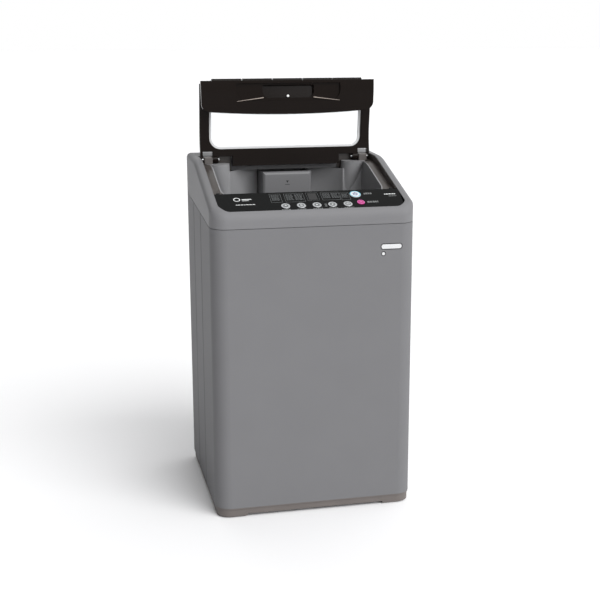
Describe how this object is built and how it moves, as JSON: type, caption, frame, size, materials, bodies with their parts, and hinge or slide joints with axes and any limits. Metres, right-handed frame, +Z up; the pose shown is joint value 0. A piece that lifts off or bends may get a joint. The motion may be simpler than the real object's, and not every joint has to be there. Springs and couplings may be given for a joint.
{
  "type": "top load washing machine",
  "caption": "Upright washing machine with a sloped control panel, a folding top lid with a clear window, and a spinning basket with a pulsator inside.",
  "frame": {"origin": "on the floor under the middle of the machine's footprint", "axes": "+Z up, +Y towards the back, +X to the machine's right seen from the front"},
  "size_m": [0.55, 0.502, 1.1607],
  "materials": {
    "cabinet_paint": "silver grey metallic paint, satin",
    "galvanised_steel": "galvanised sheet",
    "cover_plastic": "metallic grey moulded plastic",
    "collar_plastic": "grey moulded plastic",
    "base_plastic": "warm grey moulded plastic",
    "foot_rubber": "black rubber",
    "black_plastic": "black moulded plastic",
    "panel_gloss": "piano black",
    "smoked_lens": "smoked window",
    "circuit_board": "circuit board",
    "button_silver": "silver lacquered plastic",
    "power_white": "white with a cyan ring",
    "start_magenta": "magenta with a pale ring",
    "lid_brown": "glossy brown black",
    "window_clear": "clear window",
    "gasket_grey": "pale grey gasket",
    "hinge_metal": "plated steel",
    "hinge_grey": "light grey plastic",
    "white_plastic": "white moulded plastic",
    "stainless": "stainless steel",
    "cast_aluminium": "die cast",
    "motor_steel": "black painted steel",
    "belt_rubber": "rubber belt"
  },
  "bodies": {
    "cabinet": {"base_frame": "base_plastic", "foot_pads": "foot_rubber", "cabinet_shell": "cabinet_paint", "side_port_covers": "black_plastic", "back_panel": "galvanised_steel", "service_cover": "black_plastic", "cabinet_screws": "hinge_metal", "power_cord_gland": "black_plastic", "drain_outlet": "black_plastic", "top_cover": "cover_plastic", "inner_collar": "collar_plastic", "control_panel_fascia": "panel_gloss", "display_lens": "smoked_lens", "control_tray": "black_plastic", "control_board": "circuit_board", "lid_seat_trim": "lid_brown", "lid_hinge_brackets": "hinge_grey", "lid_hinge_pins": "hinge_metal", "lid_bumpers": "foot_rubber", "drawer_housing": "white_plastic", "water_inlet_valve": "white_plastic", "inlet_duct": "white_plastic", "water_level_sensor": "white_plastic", "suspension_rods": "galvanised_steel", "suspension_springs": "galvanised_steel", "motor_capacitor": "black_plastic"},
    "tub": {"outer_tub": "white_plastic", "tub_ring_cover": "white_plastic", "gearbox_housing": "cast_aluminium", "drive_bracket": "galvanised_steel", "motor_housing": "motor_steel", "drain_valve": "black_plastic", "drive_belt": "belt_rubber"},
    "basket": {"wash_basket": "stainless", "balance_ring": "white_plastic", "lint_filter": "white_plastic", "basket_hub": "cast_aluminium", "spin_shaft": "stainless"},
    "agitator": {"pulsator": "white_plastic", "pulsator_shaft": "stainless", "pulsator_screw": "stainless"},
    "pulley": {"drive_pulley": "cast_aluminium", "input_shaft": "stainless"},
    "rotor": {"motor_rotor": "motor_steel", "motor_pulley": "cast_aluminium"},
    "rear_leaf": {"lid_rear_frame": "lid_brown", "lid_window_rim": "gasket_grey", "lid_window": "window_clear", "lid_fold_pin": "hinge_metal"},
    "front_leaf": {"lid_front_leaf": "lid_brown", "lid_latch_cap": "white_plastic"},
    "drawer": {"detergent_drawer": "collar_plastic"},
    "foot": {"levelling_foot": "foot_rubber"},
    "water_level_key": {"water_level_button": "button_silver"},
    "delay_key": {"delay_button": "button_silver"},
    "program_key": {"program_button": "button_silver"},
    "rinse_key": {"rinse_button": "button_silver"},
    "spin_key": {"spin_button": "button_silver"},
    "power_key": {"power_button": "power_white"},
    "start_key": {"start_button": "start_magenta"}
  },
  "joints": [
    {"name": "tub_suspension", "type": "slide", "parent": "cabinet", "child": "tub", "axis": [0, 0, 1], "range_m": [-0.02, 0.01], "stiffness_N_per_m": 20000, "springref_m": 0.00966, "deforming": ["suspension_springs"]},
    {"name": "basket_spin", "type": "hinge", "parent": "tub", "child": "basket", "pos_m": [0, -0.006, 0.48], "axis": [0, 0, 1], "continuous": true},
    {"name": "pulley_spin", "type": "hinge", "parent": "tub", "child": "pulley", "pos_m": [0, -0.006, 0.102], "axis": [0, 0, 1], "continuous": true},
    {"name": "pulsator_spin", "type": "hinge", "parent": "tub", "child": "agitator", "pos_m": [0, -0.006, 0.25], "axis": [0, 0, 1], "continuous": true},
    {"name": "motor_spin", "type": "hinge", "parent": "tub", "child": "rotor", "pos_m": [0.145, -0.006, 0.13], "axis": [0, 0, 1], "continuous": true},
    {"name": "lid_hinge", "type": "hinge", "parent": "cabinet", "child": "rear_leaf", "pos_m": [0, 0.126, 0.934], "axis": [1, 0, 0], "range_deg": [0, 100]},
    {"name": "lid_fold", "type": "hinge", "parent": "rear_leaf", "child": "front_leaf", "pos_m": [0, 0.10094, 1.1547], "axis": [1, 0, 0], "range_deg": [-180, 0]},
    {"name": "drawer_slide", "type": "slide", "parent": "cabinet", "child": "drawer", "axis": [0, -1, 0], "range_m": [0, 0.06]},
    {"name": "foot_turn", "type": "hinge", "parent": "cabinet", "child": "foot", "pos_m": [0.231, -0.21, 0.004], "axis": [0, 0, 1], "continuous": true},
    {"name": "water_level_press", "type": "slide", "parent": "cabinet", "child": "water_level_key", "axis": [0, 0.4051, -0.9143], "range_m": [0, 0.0012], "stiffness_N_per_m": 1500, "springref_m": -0.0005},
    {"name": "delay_press", "type": "slide", "parent": "cabinet", "child": "delay_key", "axis": [0, 0.4051, -0.9143], "range_m": [0, 0.0012], "stiffness_N_per_m": 1500, "springref_m": -0.0005},
    {"name": "program_press", "type": "slide", "parent": "cabinet", "child": "program_key", "axis": [0, 0.4051, -0.9143], "range_m": [0, 0.0012], "stiffness_N_per_m": 1500, "springref_m": -0.0005},
    {"name": "rinse_press", "type": "slide", "parent": "cabinet", "child": "rinse_key", "axis": [0, 0.4051, -0.9143], "range_m": [0, 0.0012], "stiffness_N_per_m": 1500, "springref_m": -0.0005},
    {"name": "spin_press", "type": "slide", "parent": "cabinet", "child": "spin_key", "axis": [0, 0.4051, -0.9143], "range_m": [0, 0.0012], "stiffness_N_per_m": 1500, "springref_m": -0.0005},
    {"name": "power_press", "type": "slide", "parent": "cabinet", "child": "power_key", "axis": [0, 0.4051, -0.9143], "range_m": [0, 0.0012], "stiffness_N_per_m": 1500, "springref_m": -0.0005},
    {"name": "start_press", "type": "slide", "parent": "cabinet", "child": "start_key", "axis": [0, 0.4051, -0.9143], "range_m": [0, 0.0012], "stiffness_N_per_m": 1500, "springref_m": -0.0005}
  ],
  "couplings": [
    {"joint": "pulsator_spin", "follows": "pulley_spin", "ratio": 0.2},
    {"joint": "motor_spin", "follows": "pulley_spin", "ratio": 3.381},
    {"joint": "lid_fold", "follows": "lid_hinge", "ratio": -1.8}
  ]
}
